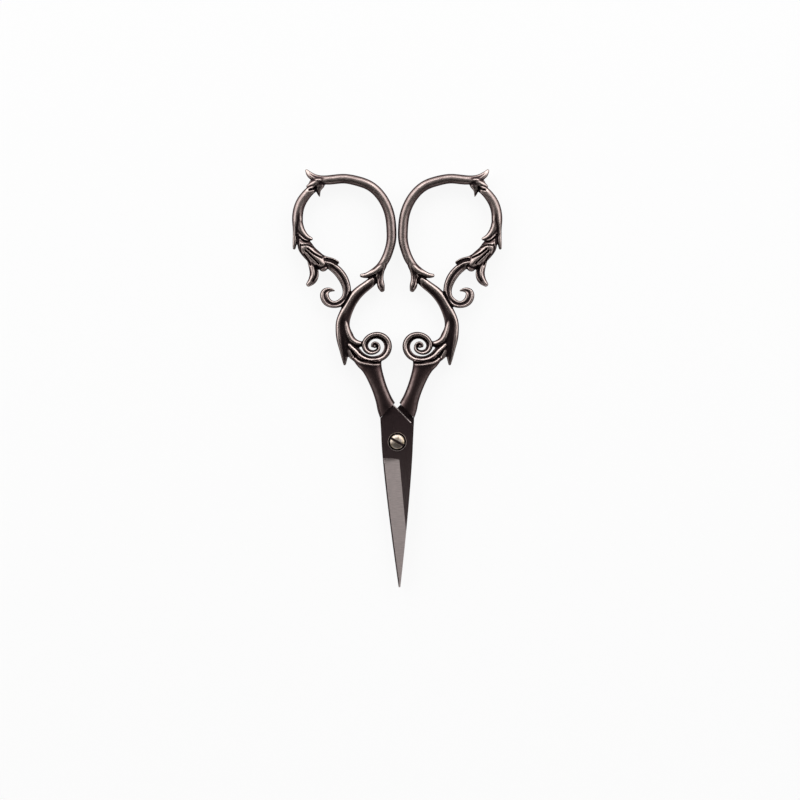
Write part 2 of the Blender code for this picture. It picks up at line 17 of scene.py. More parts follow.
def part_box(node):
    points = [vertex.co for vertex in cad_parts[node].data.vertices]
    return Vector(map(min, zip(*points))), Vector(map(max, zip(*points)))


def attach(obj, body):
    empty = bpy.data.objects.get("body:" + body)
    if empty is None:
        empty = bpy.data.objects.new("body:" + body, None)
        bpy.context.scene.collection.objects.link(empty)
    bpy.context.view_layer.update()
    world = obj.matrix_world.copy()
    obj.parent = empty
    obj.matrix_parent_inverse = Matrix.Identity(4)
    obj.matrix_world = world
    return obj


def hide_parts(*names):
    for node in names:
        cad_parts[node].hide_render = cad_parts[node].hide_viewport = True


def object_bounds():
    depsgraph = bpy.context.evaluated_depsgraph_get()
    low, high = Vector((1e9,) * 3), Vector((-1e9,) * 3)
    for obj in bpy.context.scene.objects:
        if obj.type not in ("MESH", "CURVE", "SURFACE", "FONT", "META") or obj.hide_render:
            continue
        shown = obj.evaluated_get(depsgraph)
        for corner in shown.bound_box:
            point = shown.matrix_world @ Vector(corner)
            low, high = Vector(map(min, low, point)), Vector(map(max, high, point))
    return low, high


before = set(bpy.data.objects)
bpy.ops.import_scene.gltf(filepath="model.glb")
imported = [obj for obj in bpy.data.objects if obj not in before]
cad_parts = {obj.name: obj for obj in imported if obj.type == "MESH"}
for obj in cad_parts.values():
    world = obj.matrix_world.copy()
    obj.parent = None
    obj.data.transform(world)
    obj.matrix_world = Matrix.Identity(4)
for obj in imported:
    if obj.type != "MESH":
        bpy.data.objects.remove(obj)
CAD_LOW, CAD_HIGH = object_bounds()
SCREW_LOW, SCREW_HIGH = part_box("pivot_screw")
HANDLE_LOW, HANDLE_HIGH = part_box("left_handle")

DESIGN_LENGTH = 124.524  # of the whole part, in design millimetres
UNIT = (CAD_HIGH.y - CAD_LOW.y) / DESIGN_LENGTH  # metres in one of them
PIVOT = Vector((
    (SCREW_LOW.x + SCREW_HIGH.x) / 2,
    (SCREW_LOW.y + SCREW_HIGH.y) / 2,
    (HANDLE_LOW.z + HANDLE_HIGH.z) / 2,
))

# The photograph's frame, for the camera and for the carving's strokes
PHOTO_SIDE_PX = 800
SCISSORS_LENGTH_PX = 417.45  # from the horns' tips to the blades' tips
PIVOT_PX = (397.2, 441.7)
MM_PER_PX = DESIGN_LENGTH / SCISSORS_LENGTH_PX

# Blades
BLADE_LENGTH = 43.4
BLADE_WIDTH = 9.4
BLADE_THICKNESS = 1.4
BLADE_GAP = 0.3
BLADE_LOW = BLADE_GAP / 2
BLADE_HIGH = BLADE_LOW + BLADE_THICKNESS
BLADE_TAPER = 1.25
BLADE_LEAN = math.radians(0.9)
TIP_WIDTH = 0.5
EDGE_INSET = 0.4
GRIND_START = 4.85  # from the pivot to where the wheel starts to cut
GRIND_RUN = 0.6  # length over which the wheel reaches its full depth
GRIND_RISE = 1.5  # height of the wheel's rounding over that length
GRIND_LINE_X = 0.5
EDGE_THICKNESS = 0.15
TIP_THICKNESS = 0.35
TIP_PALENESS = 0.7  # how far the blades' colour pales up to the tip
SHOULDER_SWELL = 0.15
SHOULDER_CORNER = 1.2
SHOULDER_CLEARANCE = 1.55
SHOULDER_BREAK = 0.25  # width of the bright chamfer along the shoulder
EDGE_BREAK = 0.07  # width of the rounding on the blades' and the screw's edges
BLADE_EDGE_ANGLE = 30  # degrees from which an edge is rounded
SCREW_EDGE_ANGLE = 40
BARE_SLOPES = (0.2, 0.995)  # upward share of the normals of bare faces

# Pivot screw
SHANK_DIAMETER = 2.8
HEAD_DIAMETER = 4.35
HEAD_EDGE = 0.4
HEAD_DOME = 0.9
SLOT_WIDTH = 0.72
SLOT_DEPTH = 0.6
SLOT_ANGLE = math.radians(-30)
SCREW_END = 0.3
RUNNING_GAP = 0.3
RECESS_DEPTH = 0.4
RECESS_CLEARANCE = 0.47
RIM_BREAK = 0.14  # width of the bright chamfer round the recess

# Ferrule and tang
MOUTH = Vector((-2.84, 9.36))
MOUTH_ANGLE = math.radians(45.6)
MOUTH_WIDTH = 5.8
WAIST_WIDTH = 4.6
COLLAR_WIDTH = 7.5
COLLAR_OFFSET = 1.6
SOCKET_WALL = 0.5
TANG_LENGTH = 9.0
TANG_CLEARANCE = 0.3
MOUTH_GAP = 0.04  # the seam between a blade and its ferrule

# Volute and shank
VOLUTE_CENTRE = Vector((-6.5, 28.3))
VOLUTE_RADIUS = 3.75
VOLUTE_WIDTH = 2.0
VOLUTE_DEPTH = 4.0
VOLUTE_OVERLAP = 0.25  # of the ferrule's head under the volute's outer edge
VOLUTE_STEP = 4  # degrees between its sections
VOLUTE_BED_END = -34  # degrees up to which the ferrule's head follows it
EYE = VOLUTE_CENTRE + Vector((-0.24, 0.16))  # where the volute winds in to
EYE_DIAMETER = 1.1
EYE_DEPTH = 3.0
SHANK_WIDTH = 4.4
SHANK_DEPTH = 4.4
SHANK_SPUR_DEPTH = 3.2
WEB_DEPTH = 1.8  # of the body between the shank's leaf and its spur
LOW_WEB_DEPTH = 1.6  # of the skin in the corners round the volute's root

# Finger ring
RING_WIDTH = 28.0
RING_HEIGHT = 29.7
RING_X = -15.65
RING_Y = 63.6
ARM_WIDTH = 3.0
ARM_DEPTH = 3.4
LEAF_DEPTH = 3.2
LOBE_DEPTH = 3.2
INNER_LEAF_DEPTH = 2.9
UPPER_SPUR_DEPTH = 2.2
PETAL_DEPTH = 2.6
SCROLL_DEPTH = 3.6
FLOWER_DEPTH = 5.2
FERRULE_DEPTH = 5.2
FERRULE_FACE_DEPTH = 4.9  # of the ferrule without its rim
FERRULE_SQUARENESS = 2.6  # 2 is an oval section, more is nearer to a rectangle

# Studio, in metres, degrees and watts
FLOOR_SIZE = 16.0
FLOOR_OWN_WHITE = 0.9  # the rest comes from the lamps, with their shadows
CEILING_SIZE = 4.4
CEILING_HEIGHT = 1.7
CEILING_GREY = 0.22
WALL_DISTANCE = 0.9
WALL_FOOT = 0.22  # height of the dark walls' lower edge
WING_LENGTH = 0.75
CEILING_EDGE = 0.12  # between its grey part and its dark one
DARK_GREY = 0.02  # of the walls and the dark part of the ceiling
SIDE_LAMP_TILT = 59
SIDE_LAMP_TURN = 34  # from the X axis towards the rings
SIDE_LAMP_POWER = 6.2
SIDE_LAMP_DISTANCE = 1.0
SIDE_LAMP_SIZE = (1.3, 0.85)
BACK_LAMP_TILT = 58
BACK_LAMP_POWER = 4.4
BACK_LAMP_DISTANCE = 1.1
BACK_LAMP_SIZE = (1.4, 0.4)
LENS_MM = 200
SENSOR_MM = 36
CLIP_SHARES = (0.01, 20)  # of the camera's height

# Fineness of the pieces
SWEEP_STEP = 0.2  # between a bar's sections
FERRULE_STEP = 0.012  # the same for the ferrule, as a share of its length
TANG_STEP = 0.04  # and for its tang
FEWEST_END_ROWS = 3  # of a bar's rounded end
CURVE_FINENESS = 30  # points on a curve for each of its stations
END_REACH = 0.85  # of a bar's rounded end, as a share of its half width there
END_SHARE = 0.995  # how near to its point the rounding goes
SECTION_POINTS = 40  # round a bar
SIDE_STEPS = 24  # along a blade's side
GRIND_STEPS = 17  # over the wheel's rounding
TURNED_POINTS = 96  # round the screw and the blades' holes
DOME_STEPS = 18  # over the screw's head and the volute's eye
VOXEL = 0.11  # side of the skin's cells
OVERCUT = 1.0  # of a cutter beyond what it cuts
SHARP_ANGLE = 55  # degrees from which an edge is shaded sharp

# How the casting's skin is evened out, carved, buffed and given painted shade on its upright sides, in
# millimetres
RELAX_SHARE = 0.6  # of a point's neighbours in its new place, in each round
SKIN_ROUNDS = 6  # over the whole skin
NEAR_ROUNDS = 10  # up to the shape that fine grooves lie below
BROAD_ROUNDS = 50  # and from there to the shape that high spots stand above
POLISH_AND_SHADE_ROUNDS = 3  # over the polish and painted side shade themselves
STROKE_STEP = 0.1  # between a stroke's points
STROKE_REACH = 3.0  # how far beside its line a stroke is worked out
STROKE_SHARE = 0.7  # of the height above the middle that a stroke may take
STROKE_DARK = (0.1, 0.5)  # depths between which a stroke loses its polish
PAINTED_SIDE_SHADE_LEVEL = 0.2  # painted shade: brightness left on upright faces
FACING = (0.4, 0.8)  # upward share of a normal over which the painted side shade fades, from upright to level
HIGH_SPOT = 0.075  # height that has the full polish
FINE_GROOVE = 0.04  # depth that loses most of the polish
GROOVE_LOSS = 0.85  # the share of it that is lost

# Stations of the ring's forms, from the ring's centre: (across, along, half width), as shares of the
# ring's half width, of its half height and of half of ARM_WIDTH
MAIN_ARM = (
    (-0.815, 1.165, 0.3), (-0.755, 1.09, 0.6), (-0.65, 1.022, 0.74), (-0.5, 0.98, 0.86),
    (-0.28, 0.98, 0.96), (-0.02, 1.0, 0.96), (0.26, 0.955, 1.0), (0.52, 0.865, 1.0), (0.78, 0.64, 1.0),
    (0.965, 0.24, 1.0), (0.995, -0.03, 1.0), (0.99, -0.25, 0.97), (0.945, -0.43, 0.92), (0.86, -0.63, 0.9),
    (0.745, -0.775, 0.8), (0.6, -0.88, 0.7), (0.44, -0.945, 0.54), (0.355, -0.945, 0.38),
)
LEFT_LEAF = (
    (0.9, -0.55, 0.3), (0.82, -0.7, 0.7), (0.72, -0.82, 0.84), (0.6, -0.888, 0.68), (0.5, -0.925, 0.54),
    (0.415, -0.948, 0.48), (0.36, -0.942, 0.36),
)
LOWER_LEAF = (
    (0.9, -0.56, 0.6), (0.8, -0.77, 0.7), (0.765, -0.93, 0.6), (0.76, -1.06, 0.68), (0.775, -1.16, 0.74),
    (0.8, -1.235, 0.5),
)
UPPER_LOBE = (
    (-0.36, 0.97, 0.2), (-0.46, 0.965, 0.5), (-0.6, 0.925, 0.84), (-0.72, 0.875, 0.6), (-0.8, 0.845, 0.24),
)
UPPER_WEB = ((-0.4, 0.975, 0.4), (-0.54, 0.965, 0.62), (-0.66, 0.955, 0.5), (-0.73, 0.93, 0.3))
UPPER_SPUR = (
    (-0.44, 0.95, 0.5), (-0.52, 0.87, 0.82), (-0.56, 0.77, 0.55), (-0.552, 0.7, 0.32),
    (-0.535, 0.645, 0.14),
)
OUTER_ARM = (
    (-0.56, 0.87, 0.8), (-0.74, 0.755, 0.92), (-0.856, 0.634, 1.0), (-0.935, 0.514, 1.04),
    (-0.982, 0.39, 1.06), (-1.005, 0.251, 1.08), (-1.009, 0.11, 1.04), (-1.03, -0.03, 0.74),
    (-1.054, -0.19, 0.5), (-1.067, -0.31, 0.42), (-1.078, -0.4, 0.3),
)
INNER_LEAF = (
    (-0.985, 0.16, 0.84), (-0.955, 0.02, 0.82), (-0.89, -0.1, 0.74), (-0.8, -0.18, 0.58),
    (-0.71, -0.21, 0.34),
)
TRUMPET = (
    (-0.99, -0.06, 0.5), (-0.965, -0.16, 0.7), (-0.917, -0.25, 1.05), (-0.86, -0.34, 1.44),
    (-0.79, -0.44, 1.5), (-0.65, -0.575, 1.52), (-0.53, -0.68, 1.4), (-0.45, -0.78, 0.95),
)
TOP_PETAL = ((-0.58, -0.53, 0.7), (-0.42, -0.61, 0.6), (-0.27, -0.645, 0.56), (-0.15, -0.685, 0.36))
TONGUE = (
    (-0.75, -0.55, 0.7), (-0.68, -0.76, 0.84), (-0.65, -0.92, 0.92), (-0.69, -1.04, 0.84),
    (-0.775, -1.125, 0.5),
)
C_SCROLL = (
    (-0.46, -0.64, 0.8), (-0.35, -0.705, 0.9), (-0.265, -0.765, 0.92), (-0.163, -0.845, 0.96),
    (-0.053, -0.974, 0.98), (0.024, -1.134, 0.9), (0.045, -1.275, 0.84), (0.01, -1.405, 0.84),
    (-0.085, -1.49, 0.8), (-0.22, -1.528, 0.7), (-0.345, -1.492, 0.82), (-0.425, -1.385, 0.9),
    (-0.415, -1.28, 0.8), (-0.345, -1.238, 0.54), (-0.27, -1.238, 0.32), (-0.22, -1.25, 0.16),
)
SHANK_TOP = (
    (0.82, -0.74, 0.74), (0.7, -0.93, 0.85), (0.55, -1.09, 0.96), (0.385, -1.21, 1.05),
    (0.25, -1.325, 1.15), (0.136, -1.475, 1.17),
)

# Stations in millimetres from the volute's centre. The half width is a share of half of SHANK_WIDTH.
SHANK_FOOT = (
    (-8.92, 9.9, 0.86), (-9.73, 7.05, 0.95), (-9.7, 5.0, 1.0), (-9.5, 3.0, 1.02), (-9.35, 0.7, 0.86),
    (-9.25, -1.2, 0.66), (-9.2, -3.4, 0.42), (-9.15, -5.2, 0.2),
)
SHANK_SPUR = (
    (-9.25, 9.4, 0.42), (-9.25, 7.6, 0.56), (-8.95, 5.6, 0.64), (-8.4, 3.7, 0.7), (-7.6, 2.2, 0.7),
    (-6.3, 1.15, 0.62), (-5.0, 0.82, 0.5), (-4.15, 0.88, 0.38),
)
SHANK_WEB = ((-9.2, 5.0, 0.8), (-8.5, 2.6, 1.0), (-8.1, 1.0, 0.9), (-8.2, -0.6, 0.5))
SPUR_WEB = ((-8.4, 1.0, 0.3), (-7.0, 0.5, 0.26), (-5.6, 0.3, 0.16))
COLLAR_WEB = ((-8.4, -0.8, 0.45), (-7.2, -2.3, 0.5), (-5.8, -3.6, 0.45))

# The volute about its eye: (angle in degrees, radius, half width). It comes from under the shank.
VOLUTE_TURNS = (
    (-184, 7.3, 0.9), (-171, 5.85, 1.14), (-155, 5.1, 1.16), (-135, 4.53, 1.06), (-115, 4.1, 0.96),
    (-90, 3.8, 0.95), (-60, 3.86, 1.06), (-30, 3.96, 1.14), (0, 4.0, 1.18), (45, 3.7, 1.15),
    (90, 3.2, 1.04), (135, 2.96, 1.04), (180, 2.86, 1.0), (225, 2.3, 0.86), (270, 1.7, 0.7),
    (315, 1.42, 0.66), (360, 1.16, 0.58), (405, 1.04, 0.54), (450, 0.94, 0.52), (495, 0.8, 0.5),
    (540, 0.64, 0.46),
)

# The ferrule's sides: (share of the way from its mouth to the volute, half of its width there)
FERRULE_SIDES = (
    (-0.3, MOUTH_WIDTH / 2), (0.0, MOUTH_WIDTH / 2), (0.26, WAIST_WIDTH * 0.525), (0.44, WAIST_WIDTH / 2),
    (0.62, WAIST_WIDTH * 0.525), (0.81, WAIST_WIDTH * 0.35 + COLLAR_WIDTH * 0.15), (1.0, COLLAR_WIDTH / 2),
    (1.2, COLLAR_WIDTH * 0.615),
)

# Carving strokes on the left casting, in the photograph's pixels: (points, half width, depth), the last two
# in millimetres. A negative depth raises a bead.
STROKES_PX = (
    # the upper calyx, between the horn's lobe, its spur and the outer arm
    (((309.5, 190.0), (313.0, 189.2), (315.8, 187.5)), 0.26, 0.7),
    (((315.5, 187.5), (316.0, 191.2), (318.0, 194.6)), 0.42, 0.7),
    # the fork: the notch between the outer leaf and the calyx, and the line under the inner leaf
    (((297.6, 235.5), (297.8, 241.0), (296.9, 248.0)), 0.34, 1.3),
    (((299.5, 237.2), (302.0, 239.5), (305.5, 241.3), (310.5, 241.2)), 0.22, 0.9),
    # the wrap band's hollow and its lower border, and the calyx's left border
    (((301.0, 241.6), (306.5, 242.8), (311.8, 244.4)), 0.5, 0.34),
    (((302.0, 245.6), (307.0, 245.2), (313.2, 247.4)), 0.2, 0.6),
    (((300.6, 244.5), (300.5, 251.0), (302.8, 255.8)), 0.2, 0.6),
    # between the flower's petals
    (((308.0, 249.2), (315.0, 254.5), (322.0, 257.6)), 0.24, 0.7),
    (((305.6, 250.8), (312.0, 257.0), (318.8, 263.8)), 0.24, 0.75),
    (((304.2, 254.5), (308.5, 260.5), (310.5, 265.0)), 0.22, 0.7),
    # the slot between the top petal and the C-scroll, the flower's mouth, and its lower lip
    (((326.5, 259.6), (331.5, 260.6), (336.8, 263.4)), 0.42, 1.4),
    (((316.5, 266.6), (321.5, 267.8), (326.5, 266.0)), 0.45, 0.42),
    (((319.0, 270.6), (324.5, 272.0), (329.0, 269.8)), 0.3, -0.35),
    # the tongue's hollow
    (((316.4, 268.5), (316.0, 275.5), (313.0, 281.0)), 0.36, 0.55),
    # the lower calyx: under the left leaf, beside the shank, and down the lower leaf
    (((364.5, 279.4), (370.0, 277.8), (375.2, 275.2)), 0.26, 1.2),
    (((374.6, 277.0), (376.0, 282.0), (375.2, 286.8)), 0.34, 1.1),
    (((378.6, 277.5), (379.6, 283.5), (381.0, 287.5)), 0.2, 0.3),
    # the corner between the C-scroll and the shank
    (((350.0, 293.2), (346.2, 300.5), (341.8, 307.2)), 0.3, 0.9),
    # the seam between the volute and the ferrule's head, the ledge below it, and the ferrule's rim
    (((351.1, 350.0), (355.2, 355.3), (361.0, 359.8), (367.7, 361.2), (374.6, 362.5), (383.0, 361.2)),
     0.22, 0.9),
    (((352.5, 353.0), (357.0, 358.4), (362.3, 361.2), (368.0, 362.4), (374.6, 363.1), (381.0, 362.4)),
     0.26, 0.4),
    (((353.5, 357.5), (357.5, 361.3), (362.5, 363.2), (368.3, 364.5), (374.2, 365.1), (380.5, 364.6)),
     0.2, -0.2),
)


def spline(places, values, wanted):
    """Values at the wanted places on the natural cubic spline through the given ones."""
    count = len(places)
    gaps = np.diff(places)[:, None]
    slopes = np.diff(values, axis=0) / gaps
    system = np.eye(count)
    right = np.zeros_like(values)
    for i in range(1, count - 1):
        system[i, i - 1 : i + 2] = gaps[i - 1, 0], 2 * (gaps[i - 1, 0] + gaps[i, 0]), gaps[i, 0]
        right[i] = 6 * (slopes[i] - slopes[i - 1])
    bends = np.linalg.solve(system, right)
    span = np.clip(np.searchsorted(places, wanted) - 1, 0, count - 2)
    after = (wanted - places[span])[:, None]
    before = gaps[span] - after
    lines = (bends[span] * before**3 + bends[span + 1] * after**3) / (6 * gaps[span])
    lines += (values[span] / gaps[span] - bends[span] * gaps[span] / 6) * before
    return lines + (values[span + 1] / gaps[span] - bends[span + 1] * gaps[span] / 6) * after


def lengths_along(rows):
    """How far each row lies along the line through them."""
    return np.concatenate(([0.0], np.cumsum(np.hypot(*np.diff(rows[:, :2], axis=0).T))))


def smooth_rows(stations, step):
    """Rows a step apart along a smooth curve through the stations. Each starts with x, y."""
    rows = np.array(stations, float)
    places = lengths_along(rows)
    fine = spline(places, rows, np.linspace(0, places[-1], len(rows) * CURVE_FINENESS))
    reach = lengths_along(fine)
    wanted = np.linspace(0, reach[-1], int(reach[-1] / step))
    return np.column_stack([np.interp(wanted, reach, column) for column in fine.T])


def with_round_ends(rows):
    """The rows, carried on past both ends by most of a half width, narrowing like a ball."""
    ends = []
    for end, inner in ((rows[0], rows[1]), (rows[-1], rows[-2])):
        direction = (end[:2] - inner[:2]) / np.hypot(*(end[:2] - inner[:2]))
        length = end[2] * END_REACH
        count = max(FEWEST_END_ROWS, int(length / SWEEP_STEP) + 2)
        share = np.sin(np.linspace(0, math.pi / 2, count + 1)[1:])
        share[-1] = END_SHARE
        places = end[:2] + direction * (share * length)[:, None]
        ends.append(np.column_stack((places, end[2] * np.sqrt(1 - share**2))))
    return np.vstack((ends[0][::-1], rows, ends[1]))


def plain(across, reach, total):
    """A bar's plain round relief."""
    return 1


def bump(across, centre, width):
    """1 on a line along a bar, falling to 0 beside it."""
    return np.exp(-(((across - centre) / width) ** 2))


def rise(reach, start, end):
    """0 before the start, 1 after the end, smooth between. It also runs backwards."""
    share = np.clip((reach - start) / (end - start), 0, 1)
    return share * share * (3 - 2 * share)


def horn_relief(across, reach, total):
    """The main arm: its horn is fluted on its upper side, and the rest is a round tube."""
    horn = rise(reach, 8.0, 4.0)
    return 1 + horn * (0.1 * bump(across, -0.45, 0.3) - 0.16 * bump(across, 0.35, 0.36))


def leaf_relief(across, reach, total):
    """A leaf with two ridges and a hollow between them, deepest at its tip."""
    return 1 - 0.28 * bump(across, 0.05, 0.4) * rise(reach, total * 0.25, total * 0.6)


def scroll_relief(across, reach, total):
    """The C-scroll: a wide outer ridge, a thin inner one, and a groove between them, wide at the head."""
    groove = 0.55 * bump(across, -0.06, 0.4) * rise(reach, 2.0, 5.0)
    head = 0.35 * bump(across, 0.05, 0.4) * rise(reach, total * 0.72, total * 0.85)
    return 1 - np.maximum(groove, head) - 0.16 * rise(across, -0.1, -0.6)


def shank_relief(across, reach, total):
    """The shank: a ridge along its left side, with a slope beside it above and a hollow below."""
    foot = rise(reach, total * 0.46, total * 0.7)
    slope = 0.42 * rise(across, -0.5, 0.9)
    hollow = 0.45 * rise(across, -0.9, -0.15)
    return 1 - slope * (1 - foot) - hollow * foot


def spur_relief(across, reach, total):
    """The spur under the shank: its ridge runs along its outer side and slopes down into the hollow."""
    return 1 - 0.6 * rise(across, 0.3, -0.9)


def spiral_relief(across, reach, total):
    """The volute: a ridge along its outer side that slopes inwards, and a low ledge inside it."""
    return 1 - 0.3 * rise(across, -0.7, 0.2) - 0.5 * rise(across, 0.12, 0.42)


def outer_arm_relief(across, reach, total):
    """The outer arm: a tube whose lower half opens into the fork."""
    return 1 - 0.22 * bump(across, 0.15, 0.3) * rise(reach, total * 0.45, total * 0.7)


def tongue_relief(across, reach, total):
    """The flower's tongue: a ridge on its left and a low right side."""
    return 1 - 0.3 * rise(across, -0.1, 0.4) * rise(reach, 2.0, 4.0)


def sweep(stations, depth, relief=plain):
    """The points and faces of a cast bar through (x, y, half width) stations, closed at both ends."""
    rows = smooth_rows(stations, SWEEP_STEP)
    widest = rows[:, 2].max()
    rows = with_round_ends(rows)
    along = np.gradient(rows[:, :2], axis=0)
    along /= np.hypot(*along.T)[:, None]
    left = np.column_stack((-along[:, 1], along[:, 0]))
    reach = lengths_along(rows)[:, None]
    angles = np.linspace(0, 2 * math.pi, SECTION_POINTS, endpoint=False)
    across = np.cos(angles)
    height = np.sin(angles) * depth / 2 * rows[:, 2:3] / widest
    height = height * relief(across, reach, reach[-1, 0])
    offset = across * rows[:, 2:3]
    places = rows[:, None, :2] + left[:, None] * offset[..., None]
    return loft(np.concatenate((places, height[..., None]), axis=-1))


def loft(points):
    """Points and faces of a closed solid through rings of points."""
    count, around, _ = points.shape
    faces = []
    for ring in range(count - 1):
        first = ring * around
        for place in range(around):
            beside = (place + 1) % around
            faces.append((first + place, first + beside, first + around + beside, first + around + place))
    faces.append(tuple(range(around))[::-1])
    faces.append(tuple((count - 1) * around + place for place in range(around)))
    return points.reshape(-1, 3), faces


def on_ring(shares):
    """Ring stations, given as shares, in millimetres."""
    return [
        (RING_X + across * RING_WIDTH / 2, RING_Y + along * RING_HEIGHT / 2, width * ARM_WIDTH / 2)
        for across, along, width in shares
    ]


def by_volute(stations):
    """Stations given from the volute's centre, with half widths as shares of half the shank's width."""
    return [(VOLUTE_CENTRE.x + x, VOLUTE_CENTRE.y + y, share * SHANK_WIDTH / 2) for x, y, share in stations]


def from_px(x, y):
    """A pixel of the photograph, in millimetres from the pivot."""
    return ((x - PIVOT_PX[0]) * MM_PER_PX, (PIVOT_PX[1] - y) * MM_PER_PX)


def placed(name, data):
    """A new object in the scene."""
    item = bpy.data.objects.new(name, data)
    bpy.context.scene.collection.objects.link(item)
    return item


def mesh_object(name, points, faces):
    """A new mesh object in design millimetres, with its faces turned outwards."""
    mesh = bpy.data.meshes.new(name)
    mesh.from_pydata([tuple(point) for point in points], [], faces)
    work = bmesh.new()
    work.from_mesh(mesh)
    bmesh.ops.recalc_face_normals(work, faces=work.faces)
    work.to_mesh(mesh)
    work.free()
    return placed(name, mesh)


def joined(name, solids):
    """One object from several (points, faces)."""
    points = []
    faces = []
    for some_points, some_faces in solids:
        start = len(points)
        points.extend(some_points)
        faces.extend(tuple(start + corner for corner in face) for face in some_faces)
    return mesh_object(name, points, faces)


def bake(item):
    """Apply the object's modifiers, and drop the empty material slot that a Boolean can leave."""
    bpy.context.view_layer.update()
    mesh = bpy.data.meshes.new_from_object(item.evaluated_get(bpy.context.evaluated_depsgraph_get()))
    mesh.materials.clear()
    item.modifiers.clear()
    item.data = mesh
    return item


def cut_away(item, cutters, solver="EXACT"):
    """Cut the cutters from the item, and remove them."""
    for cutter in cutters:
        boolean = item.modifiers.new(cutter.name, "BOOLEAN")
        boolean.operation = "DIFFERENCE"
        boolean.solver = solver
        boolean.object = cutter
    bake(item)
    for cutter in cutters:
        bpy.data.objects.remove(cutter, do_unlink=True)
    return item


def prism(name, outline, low, high):
    """A flat solid between two heights."""
    rings = [[(x, y, z) for x, y in outline] for z in (low, high)]
    return mesh_object(name, *loft(np.array(rings)))


def circle(radius, z, count):
    """A ring of points about Z."""
    turn = np.linspace(0, 2 * math.pi, count, endpoint=False)
    return np.column_stack((radius * np.cos(turn), radius * np.sin(turn), np.full(count, z)))


def turned(name, profile):
    """A round solid about Z through the profile's (radius, z), flat at both ends."""
    rings = [circle(radius, z, TURNED_POINTS) for radius, z in profile]
    return mesh_object(name, *loft(np.array(rings)))


def turned_over(name, item):
    """A copy of the item, turned half a turn about the Y axis."""
    mesh = item.data.copy()
    mesh.transform(Matrix.Rotation(math.pi, 4, "Y"))
    return placed(name, mesh)


def crossing(point, direction, other, other_direction):
    """Where two lines meet."""
    step = direction * BLADE_LENGTH
    other_step = other_direction * BLADE_LENGTH
    return intersect_line_line_2d(point - step, point + step, other - other_step, other + other_step)


def mouth_axes():
    """Unit vectors along the ferrule's mouth and out of it."""
    along = Vector((math.cos(MOUTH_ANGLE), math.sin(MOUTH_ANGLE)))
    return along, Vector((along.y, -along.x))


def ferrule_head():
    """Where the ferrule's axis meets the volute's underside."""
    return VOLUTE_CENTRE + Vector((-COLLAR_OFFSET, -VOLUTE_RADIUS - VOLUTE_WIDTH / 2))


def ferrule_side(share, half_width, side):
    """A point beside the ferrule's axis, at a share of the way from its mouth to its head."""
    line = ferrule_head() - MOUTH
    across = Vector((line.y, -line.x)).normalized() * side
    return MOUTH + line * share + across * half_width


def before_mouth(half_width, side, clearance):
    """Where a line beside the ferrule's axis is at the clearance from the mouth, outside it."""
    along, out = mouth_axes()
    axis = (ferrule_head() - MOUTH).normalized()
    return crossing(ferrule_side(0.0, half_width, side), axis, MOUTH + out * clearance, along)


def tang_outline(clearance):
    """The tang's two sides up to its end, or with a clearance its socket's."""
    end = (TANG_LENGTH + clearance) / (ferrule_head() - MOUTH).length
    inset = SOCKET_WALL + TANG_CLEARANCE - clearance
    rows = smooth_rows(FERRULE_SIDES, TANG_STEP)
    sides = [(share, half - inset) for share, half in rows if 0.0 < share < end]
    sides.append((end, sides[-1][1]))
    return [[ferrule_side(share, half, side) for share, half in sides] for side in (-1, 1)]


def half_blade_width(reach):
    """From the blade's middle to its spine, at a distance below the pivot."""
    share = min(reach / BLADE_LENGTH, 1.0)
    return TIP_WIDTH / 2 + (BLADE_WIDTH - TIP_WIDTH) / 2 * (1 - share**BLADE_TAPER)


def shoulder():
    """The slanted shoulder, from the corner at the spine's side to the blade's own ferrule."""
    side = Vector((BLADE_WIDTH / 2 + SHOULDER_SWELL, 0.0))
    along, out = mouth_axes()
    slant = Vector((-along.x, along.y))
    other_mouth = Vector((-MOUTH.x, MOUTH.y)) + Vector((-out.x, out.y)) * SHOULDER_CLEARANCE
    corner = crossing(side, Vector((0.0, 1.0)), other_mouth, slant)
    top = crossing(MOUTH + out * MOUTH_GAP, along, other_mouth, slant)
    start = corner - Vector((0.0, SHOULDER_CORNER))
    end = corner + slant * SHOULDER_CORNER
    rounding = [start.lerp(corner, t).lerp(corner.lerp(end, t), t) for t in (0.0, 0.2, 0.4, 0.6, 0.8, 1.0)]
    return [*rounding, top]


def blade_outline(lean):
    """A blade with its tang, anticlockwise from the tip. Its edge is on the left."""
    spine = [(half_blade_width(reach), -reach) for reach in np.linspace(BLADE_LENGTH, 0.0, SIDE_STEPS + 1)]
    left, right = tang_outline(0.0)
    half_tang = MOUTH_WIDTH / 2 - SOCKET_WALL - TANG_CLEARANCE
    tang = [before_mouth(half_tang, 1, MOUTH_GAP), *right, *left[::-1]]
    tang.append(before_mouth(half_tang, -1, MOUTH_GAP))
    outer = before_mouth(MOUTH_WIDTH / 2, -1, MOUTH_GAP)
    full = GRIND_START + GRIND_RUN
    edge = [
        (EDGE_INSET * rise(reach, GRIND_START, full) - half_blade_width(reach), -reach)
        for reach in np.linspace(GRIND_START, BLADE_LENGTH, SIDE_STEPS)[:-1]
    ]
    tip = (-TIP_WIDTH / 2, -BLADE_LENGTH)
    points = [*spine, *shoulder(), *tang, outer, *edge, tip]
    return [(x - min(y, 0.0) * math.tan(lean), y) for x, y in points]


